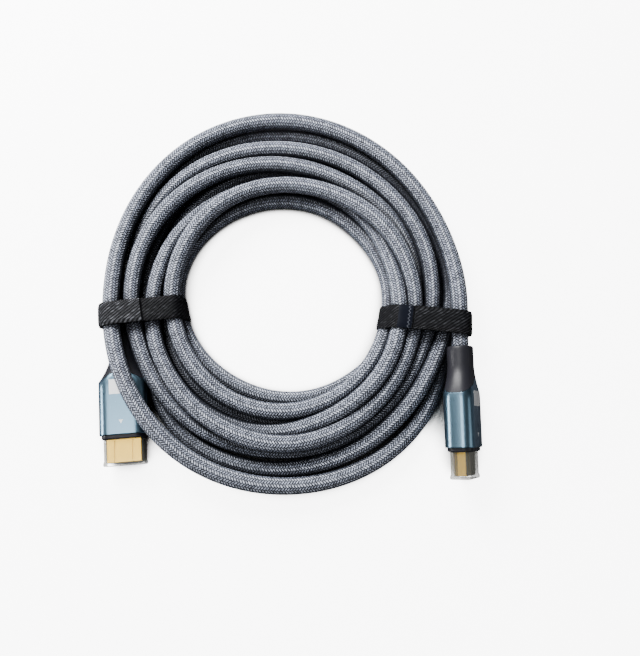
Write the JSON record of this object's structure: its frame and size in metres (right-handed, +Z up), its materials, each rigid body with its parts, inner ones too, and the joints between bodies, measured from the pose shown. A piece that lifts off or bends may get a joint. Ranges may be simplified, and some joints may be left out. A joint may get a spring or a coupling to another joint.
{
  "type": "hdmi cable",
  "caption": "Braided HDMI cable wound in a flat round coil and held by hook-and-loop ties, with aluminium plug housings and clear dust caps.",
  "frame": {"origin": "middle of the whole cable's box, on the floor that it lies on", "axes": "+Z up from the floor, +X to the right across the coil, +Y away from the plugs, which both point to -Y"},
  "size_m": [0.157, 0.1618, 0.021],
  "materials": {
    "braid": "plaited grey and black nylon yarn, satin sheen",
    "black_moulding": "moulded, fine satin",
    "anodised_aluminium": "blue-grey anodised, fine satin",
    "gold_plate": "gold plated, bright",
    "insert_plastic": "moulded",
    "clear_plastic": "soft translucent moulding",
    "hook_and_loop": "woven black nylon"
  },
  "bodies": {
    "cable": {"left_lead": "braid", "left_boot": "black_moulding", "left_housing": "anodised_aluminium", "left_collar": "black_moulding", "left_plug_shell": "gold_plate", "left_contact_insert": "insert_plastic", "right_lead": "braid", "right_boot": "black_moulding", "right_housing": "anodised_aluminium", "right_collar": "black_moulding", "right_plug_shell": "gold_plate", "right_contact_insert": "insert_plastic", "cable_coil": "braid", "left_tie": "hook_and_loop", "right_tie": "hook_and_loop"},
    "left_cap": {"left_dust_cap": "clear_plastic"},
    "right_cap": {"right_dust_cap": "clear_plastic"}
  },
  "joints": [
    {"name": "left_cap_pull", "type": "slide", "parent": "cable", "child": "left_cap", "axis": [0.0785, -0.9969, 0], "range_m": [0, 0.012]},
    {"name": "right_cap_pull", "type": "slide", "parent": "cable", "child": "right_cap", "axis": [0.0139, -0.9985, -0.0523], "range_m": [0, 0.012]}
  ]
}
